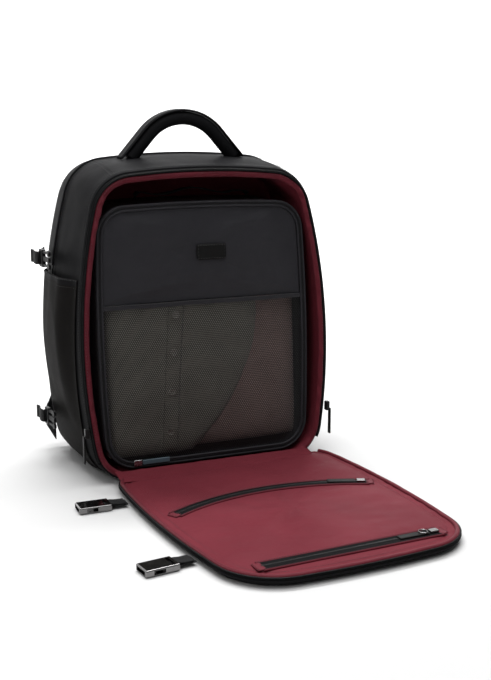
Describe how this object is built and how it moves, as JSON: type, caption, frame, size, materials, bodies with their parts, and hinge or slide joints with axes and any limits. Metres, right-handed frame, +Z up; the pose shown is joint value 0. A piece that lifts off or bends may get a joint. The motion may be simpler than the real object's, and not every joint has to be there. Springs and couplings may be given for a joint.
{
  "type": "travel backpack",
  "caption": "Black travel backpack opened clamshell style, burgundy lining, packing cube with a mesh window inside, front panel folded down with zip pockets and buckle straps.",
  "frame": {"origin": "centre of the base on the floor, where the bag stands", "axes": "+Z up, -Y out of the opening and along the folded-down front panel, +X to the wearer's left when the back rests on +Y"},
  "size_m": [0.4408, 0.6836, 0.519],
  "materials": {
    "shell_cloth": "matte coated fabric with a soft sheen",
    "lining": "burgundy lining twill",
    "divider": "padded divider cloth",
    "air_mesh": "padded spacer mesh",
    "board": "stiffener sheet",
    "zip_tape": "woven zip tape and coil",
    "zip_metal": "die-cast slider",
    "tab_leather": "black leather tab",
    "tab_grey": "slate cord tab",
    "cube_nylon": "black nylon",
    "cube_mesh": "fine hexagonal net",
    "shirt_cloth": "folded shirt",
    "garment_cloth": "folded knitwear",
    "webbing": "ribbed webbing",
    "buckle_matte": "acetal",
    "buckle_gunmetal": "glossy gunmetal coating"
  },
  "bodies": {
    "bag": {"back_pads": "air_mesh", "back_panel": "shell_cloth", "base_board": "board", "divider_panel": "divider", "front_gusset": "shell_cloth", "handle_band": "shell_cloth", "handle_grip": "shell_cloth", "ladder_locks": "buckle_matte", "laptop_sleeve": "divider", "main_lining": "lining", "rear_gusset": "shell_cloth", "rim_facing": "lining", "rim_zip_tape": "zip_tape", "seam_piping": "shell_cloth", "shoulder_strap_left": "air_mesh", "shoulder_strap_right": "air_mesh", "side_pocket_left": "shell_cloth", "side_pocket_right": "shell_cloth", "strap_anchors": "shell_cloth", "strap_webbings": "webbing", "strap_wings": "shell_cloth"},
    "hinge_strip": {"hinge_roll": "shell_cloth"},
    "flap": {"flap_panel": "shell_cloth", "flap_lining": "lining", "flap_binding": "zip_tape", "curved_zip_tape": "zip_tape", "straight_zip_tape": "zip_tape"},
    "cube": {"cube_shell": "cube_nylon", "cube_piping": "zip_tape", "cube_upper_panel": "cube_nylon", "cube_mesh_window": "cube_mesh", "cube_carry_strap": "webbing", "folded_shirt": "shirt_cloth", "folded_garment": "garment_cloth"},
    "curved_slider": {"curved_zip_slider": "zip_metal"},
    "curved_tab": {"curved_zip_tab": "tab_leather"},
    "straight_slider": {"straight_zip_slider": "zip_metal"},
    "straight_tab": {"straight_zip_tab": "tab_leather"},
    "cube_slider": {"cube_zip_slider": "zip_metal"},
    "cube_tab": {"cube_zip_tab": "tab_grey"},
    "main_slider_body_left": {"main_slider_left": "zip_metal"},
    "main_puller_body_left": {"main_puller_left": "tab_leather"},
    "main_slider_body_right": {"main_slider_right": "zip_metal"},
    "main_puller_body_right": {"main_puller_right": "tab_leather"},
    "flap_strap_lower_left": {"flap_webbing_lower_left": "webbing", "female_buckle_lower_left": "buckle_gunmetal"},
    "flap_strap_upper_left": {"flap_webbing_upper_left": "webbing", "female_buckle_upper_left": "buckle_gunmetal"},
    "flap_strap_lower_right": {"flap_webbing_lower_right": "webbing", "female_buckle_lower_right": "buckle_gunmetal"},
    "flap_strap_upper_right": {"flap_webbing_upper_right": "webbing", "female_buckle_upper_right": "buckle_gunmetal"},
    "side_strap_upper_left": {"side_webbing_upper_left": "webbing", "male_buckle_upper_left": "buckle_matte"},
    "side_strap_upper_right": {"side_webbing_upper_right": "webbing", "male_buckle_upper_right": "buckle_matte"},
    "side_strap_lower_left": {"side_webbing_lower_left": "webbing", "male_buckle_lower_left": "buckle_matte"},
    "side_strap_lower_right": {"side_webbing_lower_right": "webbing", "male_buckle_lower_right": "buckle_matte"}
  },
  "joints": [
    {"name": "flap_fold", "type": "hinge", "parent": "bag", "child": "hinge_strip", "pos_m": [0, -0.1235, 0.014], "axis": [-1, 0, 0], "range_deg": [0, 93.5]},
    {"name": "flap_sway", "type": "hinge", "parent": "hinge_strip", "child": "flap", "pos_m": [0, 0.105, 0.014], "axis": [0, 0, 1], "range_deg": [-2.6, 0]},
    {"name": "cube_slide", "type": "slide", "parent": "bag", "child": "cube", "axis": [0, 0.995, -0.0995], "range_m": [-0.15, 0]},
    {"name": "curved_zip_run", "type": "hinge", "parent": "flap", "child": "curved_slider", "pos_m": [0.03015, -0.55903, 0.016], "axis": [0, 0, 1], "range_deg": [0, 45]},
    {"name": "curved_tab_lift", "type": "hinge", "parent": "curved_slider", "child": "curved_tab", "pos_m": [0.14626, -0.28407, 0.016], "axis": [-0.367, -0.9302, 0], "range_deg": [-75, 0]},
    {"name": "straight_zip_run", "type": "slide", "parent": "flap", "child": "straight_slider", "axis": [-0.999, -0.0454, 0], "range_m": [0, 0.18]},
    {"name": "straight_tab_lift", "type": "hinge", "parent": "straight_slider", "child": "straight_tab", "pos_m": [0.13412, -0.48753, 0.016], "axis": [0.0454, -0.999, 0], "range_deg": [-75, 0]},
    {"name": "cube_zip_run", "type": "slide", "parent": "cube", "child": "cube_slider", "axis": [1, 0, 0], "range_m": [0, 0.17]},
    {"name": "cube_tab_lift", "type": "hinge", "parent": "cube_slider", "child": "cube_tab", "pos_m": [-0.1056, -0.11134, 0.0235], "axis": [0, 0, 1], "range_deg": [-70, 0]},
    {"name": "main_zip_run_left", "type": "hinge", "parent": "bag", "child": "main_slider_body_left", "pos_m": [0.63, -0.11075, 0.185], "axis": [0, 0.9978, -0.0661], "range_deg": [0, 20]},
    {"name": "main_puller_lift_left", "type": "hinge", "parent": "main_slider_body_left", "child": "main_puller_body_left", "pos_m": [-0.19199, -0.11784, 0.0735], "axis": [0, 1, 0], "range_deg": [0, 75]},
    {"name": "main_zip_run_right", "type": "hinge", "parent": "bag", "child": "main_slider_body_right", "pos_m": [-0.63, -0.11075, 0.185], "axis": [0, -0.9978, 0.0661], "range_deg": [0, 20]},
    {"name": "main_puller_lift_right", "type": "hinge", "parent": "main_slider_body_right", "child": "main_puller_body_right", "pos_m": [0.19199, -0.11784, 0.0735], "axis": [0, -1, 0], "range_deg": [0, 75]},
    {"name": "flap_strap_lower_left_swing", "type": "hinge", "parent": "flap", "child": "flap_strap_lower_left", "pos_m": [-0.16003, -0.20908, 0.0046], "axis": [0.0211, 0.9998, 0], "range_deg": [0, 36]},
    {"name": "flap_strap_upper_left_swing", "type": "hinge", "parent": "flap", "child": "flap_strap_upper_left", "pos_m": [-0.14791, -0.42475, 0.0046], "axis": [-0.133, 0.9911, 0], "range_deg": [0, 36]},
    {"name": "flap_strap_lower_right_swing", "type": "hinge", "parent": "flap", "child": "flap_strap_lower_right", "pos_m": [0.18783, -0.19329, 0.0046], "axis": [0.1116, -0.9938, 0], "range_deg": [0, 180]},
    {"name": "flap_strap_upper_right_swing", "type": "hinge", "parent": "flap", "child": "flap_strap_upper_right", "pos_m": [0.19531, -0.40917, 0.0046], "axis": [-0.0426, -0.9991, 0], "range_deg": [0, 180]},
    {"name": "side_strap_upper_left_swing", "type": "hinge", "parent": "bag", "child": "side_strap_upper_left", "pos_m": [-0.1948, 0.066, 0.308], "axis": [0, 0, -1], "range_deg": [0, 60]},
    {"name": "side_strap_upper_right_swing", "type": "hinge", "parent": "bag", "child": "side_strap_upper_right", "pos_m": [0.1948, 0.066, 0.308], "axis": [0, 0, 1], "range_deg": [0, 60]},
    {"name": "side_strap_lower_left_swing", "type": "hinge", "parent": "bag", "child": "side_strap_lower_left", "pos_m": [-0.1948, 0.066, 0.072], "axis": [0, 0, -1], "range_deg": [0, 60]},
    {"name": "side_strap_lower_right_swing", "type": "hinge", "parent": "bag", "child": "side_strap_lower_right", "pos_m": [0.1948, 0.066, 0.072], "axis": [0, 0, 1], "range_deg": [0, 60]}
  ],
  "couplings": [
    {"joint": "flap_sway", "follows": "flap_fold", "ratio": -0.027807}
  ]
}
